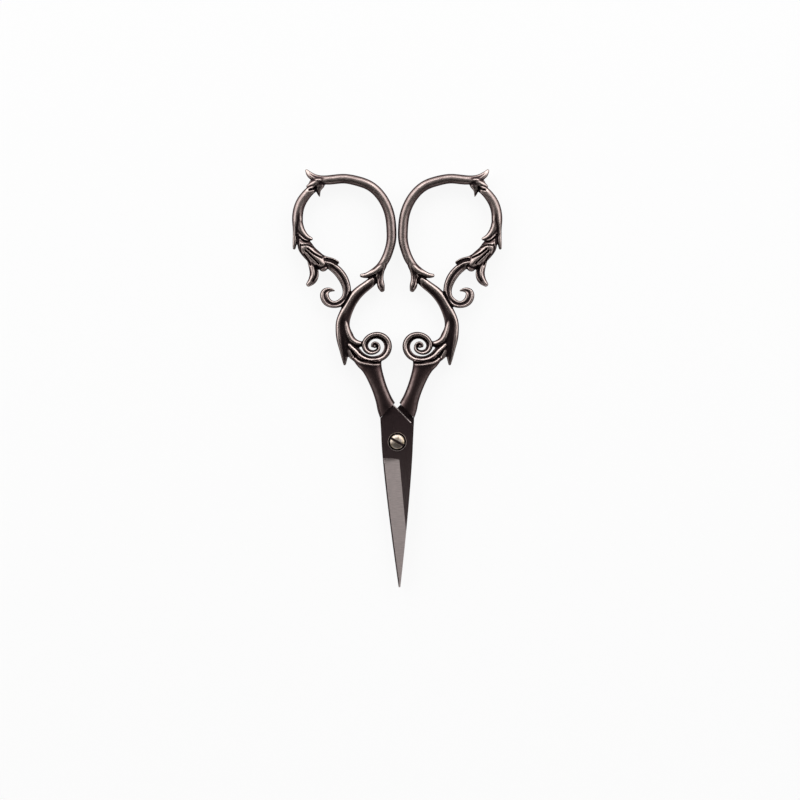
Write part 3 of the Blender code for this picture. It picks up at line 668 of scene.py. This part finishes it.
def grind_height(x, y):
    """Height of the bevel's plane, with the wheel's rounding at its upper end."""
    edge_x = EDGE_INSET - half_blade_width(GRIND_START)
    slope_x = (BLADE_THICKNESS - EDGE_THICKNESS) / (GRIND_LINE_X - edge_x)
    drop_at_tip = BLADE_THICKNESS - TIP_THICKNESS - slope_x * (GRIND_LINE_X + TIP_WIDTH / 2)
    slope_y = -drop_at_tip / (BLADE_LENGTH - GRIND_START)
    share = min(max((y + GRIND_START + GRIND_RUN) / GRIND_RUN, 0.0), 1.0)
    wheel = GRIND_RISE * (1 - math.sqrt(1 - share**2))
    return BLADE_HIGH + slope_x * (x - GRIND_LINE_X) - slope_y * (y + GRIND_START) + wheel


def grind_cutter(lean):
    """What the grinding wheel takes off a blade."""
    rows = [-BLADE_LENGTH - OVERCUT, *np.linspace(-GRIND_START - GRIND_RUN, -GRIND_START, GRIND_STEPS)]
    side = BLADE_WIDTH
    top = BLADE_THICKNESS * 5
    rings = []
    for y in rows:
        section = [*((x, grind_height(x, y)) for x in (-side, side)), (side, top), (-side, top)]
        rings.append([(x - y * math.tan(lean), y, z) for x, z in section])
    return mesh_object("grind", *loft(np.array(rings)))


def shoulder_cutter():
    """What breaks the upper edge of the slanted shoulder."""
    *_, start, top = shoulder()
    slant = (top - start).normalized()
    out = Vector((slant.y, -slant.x))
    section = (
        (-SHOULDER_BREAK - OVERCUT, BLADE_HIGH + OVERCUT),
        (OVERCUT, BLADE_HIGH - SHOULDER_BREAK - OVERCUT),
        (OVERCUT, BLADE_HIGH + OVERCUT),
    )
    rings = [[(*(place + out * across), z) for across, z in section]
             for place in (start - slant * SHOULDER_BREAK, top + slant * OVERCUT)]
    return mesh_object("shoulder_break", *loft(np.array(rings)))


def break_edges(item, angle, soft):
    """Round every edge that is sharper than the angle, and shade the rest softly or flat."""
    bevel = item.modifiers.new("edges", "BEVEL")
    bevel.width = EDGE_BREAK
    bevel.segments = 2
    bevel.limit_method = "ANGLE"
    bevel.angle_limit = math.radians(angle)
    bevel.harden_normals = soft
    if soft:
        item.data.shade_smooth()
    else:
        item.data.shade_flat()
    return bake(item)


def blade(name, lean, head_recess):
    """A blade above the meeting plane, with its screw hole and its ground bevel."""
    item = prism(name, blade_outline(lean), BLADE_LOW, BLADE_HIGH)
    top = BLADE_HIGH + OVERCUT
    hole = SHANK_DIAMETER / 2 + RUNNING_GAP
    recess = HEAD_DIAMETER / 2 + RECESS_CLEARANCE
    cuts = [turned("hole", ((hole, top), (hole, BLADE_LOW - OVERCUT)))]
    if head_recess:
        cuts.append(turned("recess", (
            (recess + RIM_BREAK + OVERCUT, top),
            (recess, BLADE_HIGH - RIM_BREAK),
            (recess, BLADE_HIGH - RECESS_DEPTH),
        )))
    cut_away(item, [*cuts, grind_cutter(lean), shoulder_cutter()])
    break_edges(item, BLADE_EDGE_ANGLE, False)
    mark_faces(item)
    return item


def mark_faces(item):
    """Bevel and broken upper edges take the second slot; recess and hole the third, painted shade."""
    recess = HEAD_DIAMETER / 2 + RECESS_CLEARANCE
    for face in item.data.polygons:
        x, y, z = face.center
        in_recess = math.hypot(x, y) < recess and z < BLADE_HIGH - RIM_BREAK
        bare = BARE_SLOPES[0] < face.normal.z < BARE_SLOPES[1]
        face.material_index = 2 if in_recess else int(bare)


def pivot_screw():
    """A domed head on a plain shank through both blades. Its slot takes the second material, as painted
    shade.
    """
    seat = BLADE_HIGH - RECESS_DEPTH + RUNNING_GAP
    rim = seat + HEAD_EDGE
    head = HEAD_DIAMETER / 2
    shank = SHANK_DIAMETER / 2
    end = -BLADE_HIGH - SCREW_END
    dome = [
        (head * math.sin(angle), rim + HEAD_DOME * math.cos(angle))
        for angle in np.linspace(0, math.pi / 2, DOME_STEPS + 1)[1:]
    ]
    item = turned("screw_detail", (*dome, (head, seat), (shank, seat), (shank, end)))
    half = SLOT_WIDTH / 2
    reach = HEAD_DIAMETER
    outline = ((-reach, -half), (reach, -half), (reach, half), (-reach, half))
    slot = prism("slot", outline, rim + HEAD_DOME - SLOT_DEPTH, rim + HEAD_DOME + OVERCUT)
    slot.data.transform(Matrix.Rotation(SLOT_ANGLE, 4, "Z"))
    cut_away(item, [slot])
    break_edges(item, SCREW_EDGE_ANGLE, True)
    unturn = Matrix.Rotation(-SLOT_ANGLE, 3, "Z")
    # the slot's faces are painted with the blades' dark steel as shade
    for face in item.data.polygons:
        centre = unturn @ face.center
        face.material_index = int(abs(centre.y) < half and centre.z > rim)
    return item


def ferrule_solid():
    """The sleeve: gently domed above and below, with well rounded long edges."""
    line = ferrule_head() - MOUTH
    across = Vector((line.y, -line.x)).normalized()
    rows = smooth_rows(FERRULE_SIDES, FERRULE_STEP)
    angles = np.linspace(0, 2 * math.pi, SECTION_POINTS * 2, endpoint=False)
    power = 2 / FERRULE_SQUARENESS
    wide = np.sign(np.cos(angles)) * np.abs(np.cos(angles)) ** power
    high = np.sign(np.sin(angles)) * np.abs(np.sin(angles)) ** power
    points = []
    for share, half in rows:
        middle = MOUTH + line * share
        points.append(np.column_stack((
            middle.x - across.x * wide * half,
            middle.y - across.y * wide * half,
            high * FERRULE_FACE_DEPTH / 2,
        )))
    return mesh_object("ferrule_solid", *loft(np.array(points)))


def mouth_saw():
    """What cuts the ferrule's open end on the slant."""
    along, out = mouth_axes()
    reach = MOUTH_WIDTH * 2
    start = MOUTH - along * reach
    end = MOUTH + along * reach
    outline = (start, start + out * reach, end + out * reach, end)
    return prism("mouth_saw", outline, -FERRULE_DEPTH, FERRULE_DEPTH)


def volute_rows(last):
    """The volute's bar from its root to an angle in degrees: place and half width."""
    table = np.array(VOLUTE_TURNS, float)
    angles = np.arange(table[0, 0], last + VOLUTE_STEP, VOLUTE_STEP)
    rows = spline(table[:, 0], table[:, 1:], angles)
    return [
        (EYE + Vector((math.cos(angle), math.sin(angle))) * radius, half_width)
        for angle, (radius, half_width) in zip(np.radians(angles), rows)
    ]


def volute_bed():
    """What hollows the ferrule's head to the volute's outer edge."""
    under = [
        place + (place - EYE).normalized() * (half_width - VOLUTE_OVERLAP)
        for place, half_width in volute_rows(VOLUTE_BED_END)
    ]
    top = VOLUTE_CENTRE.y + VOLUTE_RADIUS
    left = under[0].x - VOLUTE_RADIUS
    right = under[-1].x + VOLUTE_RADIUS
    outline = [*under, (right, under[-1].y), (right, top), (left, top), (left, under[0].y)]
    return prism("volute_bed", outline, -FERRULE_DEPTH, FERRULE_DEPTH)


def socket():
    """The room for the tang inside the ferrule."""
    left, right = tang_outline(TANG_CLEARANCE)
    half = MOUTH_WIDTH / 2 - SOCKET_WALL
    outline = [before_mouth(half, -1, OVERCUT), before_mouth(half, 1, OVERCUT), *right, *left[::-1]]
    return prism("socket", outline, BLADE_LOW - TANG_CLEARANCE, BLADE_HIGH + TANG_CLEARANCE)


def ball(centre, radius, depth):
    """Points and faces of a ball stretched to a depth."""
    angles = np.linspace(-math.pi / 2, math.pi / 2, DOME_STEPS)[1:-1]
    rings = [
        circle(radius * math.cos(angle), depth / 2 * math.sin(angle), SECTION_POINTS) + (*centre, 0.0)
        for angle in angles
    ]
    return loft(np.array(rings))


def carve(points, strokes):
    """Move the points towards the middle plane along each stroke, and return how deep each now lies."""
    depth_at = np.zeros(len(points))
    for stroke, half_width, depth in strokes:
        path = smooth_rows([from_px(x, y) for x, y in stroke], STROKE_STEP)
        low = path.min(0) - STROKE_REACH
        high = path.max(0) + STROKE_REACH
        chosen = np.nonzero(((points[:, :2] > low) & (points[:, :2] < high)).all(1))[0]
        away = points[chosen, None, :2] - path
        near = np.hypot(away[..., 0], away[..., 1]).min(1)
        height = points[chosen, 2]
        cut = np.minimum(depth * np.exp(-((near / half_width) ** 2)), np.abs(height) * STROKE_SHARE)
        points[chosen, 2] = height - np.sign(height) * cut
        depth_at[chosen] += np.maximum(cut, 0)
    return depth_at


def relax(values, edges, counts, times):
    """Values averaged over the mesh's edges a number of times."""
    for _ in range(times):
        total = np.column_stack([
            np.bincount(edges[:, 0], values[edges[:, 1], axis], len(values))
            + np.bincount(edges[:, 1], values[edges[:, 0], axis], len(values))
            for axis in range(values.shape[1])
        ])
        values = values * (1 - RELAX_SHARE) + total / counts[:, None] * RELAX_SHARE
    return values


def mesh_arrays(mesh):
    """A mesh's points, edges and the number of edges at each point."""
    points = np.empty(len(mesh.vertices) * 3)
    mesh.vertices.foreach_get("co", points)
    edges = np.empty(len(mesh.edges) * 2, int)
    mesh.edges.foreach_get("vertices", edges)
    edges = edges.reshape(-1, 2)
    counts = np.maximum(np.bincount(edges.ravel(), minlength=len(mesh.vertices)), 1)
    return points.reshape(-1, 3), edges, counts


def antique_and_painted_shade(mesh, depth_at):
    """Store how bright each point is: high spots buffed bright, hollows dark, sides in painted shade."""
    points, edges, counts = mesh_arrays(mesh)
    normals = np.empty(len(mesh.vertices) * 3)
    mesh.vertex_normals.foreach_get("vector", normals)
    normals = normals.reshape(-1, 3)
    near = relax(points, edges, counts, NEAR_ROUNDS)
    broad = relax(near, edges, counts, BROAD_ROUNDS)
    height = ((points - broad) * normals).sum(1)
    groove = ((near - points) * normals).sum(1)
    # painted shade: upright sides darker than level faces
    painted_side_shade = PAINTED_SIDE_SHADE_LEVEL + (1 - PAINTED_SIDE_SHADE_LEVEL) * rise(np.abs(normals[:, 2]), *FACING)
    polish_and_shade = painted_side_shade * rise(height, 0.0, HIGH_SPOT)
    polish_and_shade *= (1 - GROOVE_LOSS * rise(groove, 0.0, FINE_GROOVE)) * (1 - rise(depth_at, *STROKE_DARK))
    polish_and_shade = relax(polish_and_shade[:, None], edges, counts, POLISH_AND_SHADE_ROUNDS)
    layer = mesh.attributes.new("polish_and_shade", "FLOAT", "POINT")
    layer.data.foreach_set("value", polish_and_shade.astype(np.float32).ravel())


def casting():
    """The left handle: ring, leaves, flower, scrolls, volute and ferrule as one skin."""
    ferrule = cut_away(ferrule_solid(), [volute_bed()])
    shank = on_ring(SHANK_TOP) + by_volute(SHANK_FOOT)
    volute = [(*place, half_width) for place, half_width in volute_rows(VOLUTE_TURNS[-1][0])]
    item = joined("left_casting", [
        sweep(on_ring(MAIN_ARM), ARM_DEPTH, horn_relief),
        sweep(on_ring(LEFT_LEAF), LEAF_DEPTH),
        sweep(on_ring(LOWER_LEAF), LEAF_DEPTH, leaf_relief),
        sweep(on_ring(UPPER_LOBE), LOBE_DEPTH),
        sweep(on_ring(UPPER_WEB), LEAF_DEPTH),
        sweep(on_ring(UPPER_SPUR), UPPER_SPUR_DEPTH),
        sweep(on_ring(OUTER_ARM), ARM_DEPTH, outer_arm_relief),
        sweep(on_ring(INNER_LEAF), INNER_LEAF_DEPTH),
        sweep(on_ring(TRUMPET), FLOWER_DEPTH),
        sweep(on_ring(TOP_PETAL), PETAL_DEPTH),
        sweep(on_ring(TONGUE), LEAF_DEPTH, tongue_relief),
        sweep(on_ring(C_SCROLL), SCROLL_DEPTH, scroll_relief),
        sweep(shank, SHANK_DEPTH, shank_relief),
        sweep(by_volute(SHANK_SPUR), SHANK_SPUR_DEPTH, spur_relief),
        sweep(by_volute(SHANK_WEB), WEB_DEPTH),
        sweep(by_volute(SPUR_WEB), LOW_WEB_DEPTH),
        sweep(by_volute(COLLAR_WEB), LOW_WEB_DEPTH),
        sweep(volute, VOLUTE_DEPTH, spiral_relief),
        ball(EYE, EYE_DIAMETER / 2, EYE_DEPTH),
        ([point.co for point in ferrule.data.vertices], [face.vertices for face in ferrule.data.polygons]),
    ])
    bpy.data.objects.remove(ferrule, do_unlink=True)
    remesh = item.modifiers.new("skin", "REMESH")
    remesh.mode = "VOXEL"
    remesh.voxel_size = VOXEL
    bake(item)
    points, edges, counts = mesh_arrays(item.data)
    points = relax(points, edges, counts, SKIN_ROUNDS)
    depth_at = carve(points, STROKES_PX)
    item.data.vertices.foreach_set("co", points.astype(np.float32).ravel())
    item.data.update()
    # buffed high spots, dark hollows and painted shade on the sides, stored for each point
    antique_and_painted_shade(item.data, depth_at)
    cut_away(item, [mouth_saw(), socket()], "MANIFOLD")
    item.data.shade_smooth()
    item.data.set_sharp_from_angle(angle=math.radians(SHARP_ANGLE))
    return item


def shader_of(name, metallic):
    """A new material, its node tree and its Principled shader."""
    surface = bpy.data.materials.new(name)
    surface.use_nodes = True
    shader = surface.node_tree.nodes["Principled BSDF"]
    shader.inputs["Metallic"].default_value = metallic
    return surface, surface.node_tree, shader


def ramp(tree, source, stops, target):
    """A colour ramp from the source to the target."""
    node = tree.nodes.new("ShaderNodeValToRGB")
    while len(node.color_ramp.elements) < len(stops):
        node.color_ramp.elements.new(0.5)
    for element, (place, color) in zip(node.color_ramp.elements, stops):
        element.position = place
        element.color = (*color, 1.0)
    tree.links.new(source, node.inputs["Fac"])
    tree.links.new(node.outputs["Color"], target)


def grey(value):
    """A grey colour."""
    return (value, value, value)


def math_node(tree, operation, *values):
    """Sockets or numbers, put together."""
    node = tree.nodes.new("ShaderNodeMath")
    node.operation = operation
    for socket_in, value in zip(node.inputs, values):
        if isinstance(value, (int, float)):
            socket_in.default_value = value
        else:
            tree.links.new(value, socket_in)
    return node.outputs[0]


def noise(tree, scale, detail=3.0, stretch=(1.0, 1.0, 1.0)):
    """Noise in the piece's own space. The scale counts waves in a design millimetre."""
    place = tree.nodes.new("ShaderNodeTexCoord")
    mapping = tree.nodes.new("ShaderNodeMapping")
    mapping.inputs["Scale"].default_value = tuple(share / UNIT for share in stretch)
    tree.links.new(place.outputs["Object"], mapping.inputs["Vector"])
    node = tree.nodes.new("ShaderNodeTexNoise")
    node.inputs["Scale"].default_value = scale
    node.inputs["Detail"].default_value = detail
    tree.links.new(mapping.outputs["Vector"], node.inputs["Vector"])
    return node.outputs["Fac"]


def bump_node(tree, shader, height, distance, strength):
    """Fine relief from a height, with the distance in design millimetres."""
    node = tree.nodes.new("ShaderNodeBump")
    node.inputs["Strength"].default_value = strength
    node.inputs["Distance"].default_value = distance * UNIT
    tree.links.new(height, node.inputs["Height"])
    tree.links.new(node.outputs["Normal"], shader.inputs["Normal"])


def gunmetal():
    """Dark plating on the casting, rubbed lighter on the high spots, with painted shade on its sides."""
    surface, tree, shader = shader_of("gunmetal_casting", metallic=0.96)
    shader.inputs["Specular Tint"].default_value = (0.4, 0.4, 0.4, 1.0)
    polish_and_shade = tree.nodes.new("ShaderNodeAttribute")
    polish_and_shade.attribute_name = "polish_and_shade"
    cloud = noise(tree, 0.9, 4.0)
    worn = math_node(tree, "MULTIPLY_ADD", cloud, 0.5, 0.75)
    # the plating's tone follows the buffing, the painted side shade and random wear
    level = math_node(tree, "MULTIPLY", polish_and_shade.outputs["Fac"], worn)
    ramp(tree, level, (
        (0.0, (0.028, 0.019, 0.02)),
        (0.35, (0.098, 0.065, 0.063)),
        (0.75, (0.365, 0.29, 0.272)),
        (1.0, (0.53, 0.437, 0.405)),
    ), shader.inputs["Base Color"])
    ramp(tree, level, ((0.0, grey(0.5)), (0.8, grey(0.36))), shader.inputs["Roughness"])
    bump_node(tree, shader, noise(tree, 1.0, 2.0), distance=0.06, strength=0.3)
    return surface


def blade_steel():
    """Dark plated steel with faint lengthwise brushing, paler towards the tip."""
    surface, tree, shader = shader_of("blade_steel", metallic=0.85)
    shader.inputs["Specular Tint"].default_value = (0.5, 0.5, 0.5, 1.0)
    lines = noise(tree, 1.0, 4.0, (9.0, 0.5, 9.0))
    place = tree.nodes.new("ShaderNodeTexCoord")
    axes = tree.nodes.new("ShaderNodeSeparateXYZ")
    tree.links.new(place.outputs["Object"], axes.inputs["Vector"])
    from_pivot = math_node(tree, "SUBTRACT", PIVOT.y, axes.outputs["Y"])
    paleness = math_node(tree, "MULTIPLY", from_pivot, TIP_PALENESS / (BLADE_LENGTH * UNIT))
    level = math_node(tree, "MULTIPLY_ADD", lines, 0.5, paleness)
    ramp(tree, level, (
        (0.1, (0.078, 0.051, 0.053)),
        (0.35, (0.115, 0.083, 0.083)),
        (1.0, (0.32, 0.255, 0.25)),
    ), shader.inputs["Base Color"])
    ramp(tree, lines, ((0.3, grey(0.42)), (0.7, grey(0.3))), shader.inputs["Roughness"])
    bump_node(tree, shader, lines, distance=0.006, strength=0.5)
    return surface


def ground_steel():
    """The ground bevel: bare steel with fine marks across it."""
    surface, tree, shader = shader_of("ground_steel", metallic=0.55)
    marks = noise(tree, 1.0, 5.0, (0.6, 6.5, 0.6))
    grain = ((0.3, (0.37, 0.315, 0.305)), (0.7, (0.52, 0.445, 0.43)))
    ramp(tree, marks, grain, shader.inputs["Base Color"])
    ramp(tree, marks, ((0.3, grey(0.48)), (0.7, grey(0.38))), shader.inputs["Roughness"])
    bump_node(tree, shader, marks, distance=0.01, strength=0.5)
    return surface


def painted_recess_shade():
    """Painted shade in the screw's recess: near black, faintly blotched."""
    surface, tree, shader = shader_of("painted_recess_shade", metallic=0.0)
    shader.inputs["Specular IOR Level"].default_value = 0.05
    spots = noise(tree, 2.0)
    grain = ((0.3, (0.006, 0.005, 0.005)), (0.7, (0.016, 0.012, 0.012)))
    ramp(tree, spots, grain, shader.inputs["Base Color"])
    ramp(tree, spots, ((0.3, grey(0.7)), (0.7, grey(0.5))), shader.inputs["Roughness"])
    return surface


def screw_brass():
    """Nickel-plated brass, worn to the brass in places, with fine scratches."""
    surface, tree, shader = shader_of("screw_brass", metallic=1.0)
    wear = noise(tree, 0.8, 3.0)
    ramp(tree, wear, (
        (0.35, (0.42, 0.34, 0.23)),
        (0.55, (0.62, 0.53, 0.46)),
        (0.8, (0.76, 0.68, 0.63)),
    ), shader.inputs["Base Color"])
    scratches = noise(tree, 1.0, 5.0, (1.2, 7.0, 1.0))
    ramp(tree, scratches, ((0.3, grey(0.48)), (0.7, grey(0.36))), shader.inputs["Roughness"])
    bump_node(tree, shader, scratches, distance=0.02, strength=0.6)
    return surface


def to_frame(item, body, node, slot_name, *surfaces):
    """Move a piece from design millimetres to the frame, colour it, and let it stand for its CAD node."""
    item.data.transform(Matrix.Translation(PIVOT) @ Matrix.Scale(UNIT, 4))
    for surface in surfaces:
        item.data.materials.append(surface)
    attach(item, body)
    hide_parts(node)


def softbox(name, tilt, turn, distance, size, power):
    """A soft area lamp on the scissors, its direction tilted from the Z axis and turned from the X axis."""
    tilt = math.radians(tilt)
    turn = math.radians(turn)
    towards = Vector((math.sin(tilt) * math.cos(turn), math.sin(tilt) * math.sin(turn), math.cos(tilt)))
    lamp = bpy.data.lights.new(name, "AREA")
    lamp.shape = "RECTANGLE"
    lamp.size, lamp.size_y = size
    lamp.energy = power
    item = placed(name, lamp)
    item.location = PIVOT + towards * distance
    item.rotation_euler = towards.to_track_quat("Z", "Y").to_euler()
    item.visible_camera = False


def stage_panel(name, corners, surface):
    """A flat panel of the studio."""
    item = mesh_object(name, corners, [tuple(range(len(corners)))])
    item.data.materials.append(surface)
    return item


def level_panel(name, xs, ys, height, surface):
    """A level panel of the studio, over two ranges."""
    left, right = xs
    near, far = ys
    corners = [(left, near, height), (right, near, height), (right, far, height), (left, far, height)]
    return stage_panel(name, corners, surface)


def upright_panel(name, start, end, heights, surface):
    """An upright panel of the studio, from one (x, y) to another."""
    foot, top = heights
    return stage_panel(name, [(*start, foot), (*end, foot), (*end, top), (*start, top)], surface)


def plain_surface(name, value):
    """A matt grey surface for the studio."""
    surface, tree, shader = shader_of(name, metallic=0.0)
    shader.inputs["Base Color"].default_value = (value, value, value, 1.0)
    shader.inputs["Roughness"].default_value = 0.9
    shader.inputs["Specular IOR Level"].default_value = 0.0
    return surface, tree, shader


def floor_surface():
    """White floor with soft shadows: most of its white is its own, as the eye and the metal see it."""
    surface, tree, shader = plain_surface("floor_white", 0.9)
    path = tree.nodes.new("ShaderNodeLightPath")
    seen = math_node(tree, "ADD", path.outputs["Is Camera Ray"], path.outputs["Is Glossy Ray"])
    seen = math_node(tree, "ADD", seen, path.outputs["Is Transmission Ray"])
    white = tree.nodes.new("ShaderNodeEmission")
    mix = tree.nodes.new("ShaderNodeMixShader")
    tree.links.new(math_node(tree, "MULTIPLY", seen, FLOOR_OWN_WHITE), mix.inputs["Fac"])
    tree.links.new(shader.outputs["BSDF"], mix.inputs[1])
    tree.links.new(white.outputs["Emission"], mix.inputs[2])
    tree.links.new(mix.outputs["Shader"], tree.nodes["Material Output"].inputs["Surface"])
    return surface


def studio():
    """A white room: grey overhead, dark in front, and softboxes at the sides and beyond the rings."""
    floor = (-FLOOR_SIZE / 2, FLOOR_SIZE / 2)
    half = CEILING_SIZE / 2
    wall = -WALL_DISTANCE
    wing_end = wall + WING_LENGTH
    heights = (WALL_FOOT, CEILING_HEIGHT)
    dark = plain_surface("studio_dark", DARK_GREY)[0]
    overhead = plain_surface("studio_grey", CEILING_GREY)[0]
    level_panel("floor", floor, floor, 0.0, floor_surface())
    for item in (
        level_panel("ceiling", (-half, half), (CEILING_EDGE, half), CEILING_HEIGHT, overhead),
        level_panel("front_ceiling", (-half, half), (wall, CEILING_EDGE), CEILING_HEIGHT, dark),
        upright_panel("front_wall", (-half, wall), (half, wall), heights, dark),
        upright_panel("left_wing", (-half, wall), (-half, wing_end), heights, dark),
        upright_panel("right_wing", (half, wall), (half, wing_end), heights, dark),
    ):
        item.visible_camera = False
    world = bpy.data.worlds.new("studio")
    bpy.context.scene.world = world
    world.use_nodes = True
    background = world.node_tree.nodes["Background"]
    background.inputs["Color"].default_value = (1.0, 1.0, 1.0, 1.0)
    background.inputs["Strength"].default_value = 1.0
    side = (SIDE_LAMP_DISTANCE, SIDE_LAMP_SIZE, SIDE_LAMP_POWER)
    softbox("left_softbox", SIDE_LAMP_TILT, 180 - SIDE_LAMP_TURN, *side)
    softbox("right_softbox", SIDE_LAMP_TILT, SIDE_LAMP_TURN, *side)
    softbox("back_softbox", BACK_LAMP_TILT, 90, BACK_LAMP_DISTANCE, BACK_LAMP_SIZE, BACK_LAMP_POWER)


def camera():
    """A long lens straight above, with the photograph's frame."""
    lens = bpy.data.cameras.new("camera")
    lens.sensor_width = SENSOR_MM
    lens.lens = LENS_MM
    item = placed("camera", lens)
    side = PHOTO_SIDE_PX * MM_PER_PX * UNIT
    middle = from_px(PHOTO_SIDE_PX / 2, PHOTO_SIDE_PX / 2)
    height = side * LENS_MM / SENSOR_MM
    item.location = (PIVOT.x + middle[0] * UNIT, PIVOT.y + middle[1] * UNIT, PIVOT.z + height)
    lens.clip_start = height * CLIP_SHARES[0]
    lens.clip_end = height * CLIP_SHARES[1]
    bpy.context.scene.camera = item


def build():
    """Make the pieces, the studio and the camera."""
    casting_metal = gunmetal()
    steel = blade_steel()
    ground = ground_steel()
    # painted shade for the blades' screw recess and hole
    recess_shade = painted_recess_shade()
    left = casting()
    right = turned_over("right_casting", left)
    front = blade("front_blade_detail", BLADE_LEAN, True)
    pattern = blade("rear_pattern", -BLADE_LEAN, False)
    rear = turned_over("rear_blade_detail", pattern)
    bpy.data.objects.remove(pattern, do_unlink=True)
    screw = pivot_screw()
    to_frame(left, "front_half", "left_handle", "gunmetal_casting", casting_metal)
    to_frame(right, "rear_half", "right_handle", "gunmetal_casting", casting_metal)
    to_frame(front, "front_half", "front_blade", "blade_steel", steel, ground, recess_shade)
    to_frame(rear, "rear_half", "rear_blade", "blade_steel", steel, ground, recess_shade)
    # the blades' dark steel paints shade into the screw's slot
    to_frame(screw, "rear_half", "pivot_screw", "screw_brass", screw_brass(), steel)
    studio()
    camera()
    bpy.context.scene.view_settings.view_transform = "Standard"


build()
bpy.context.view_layer.update()
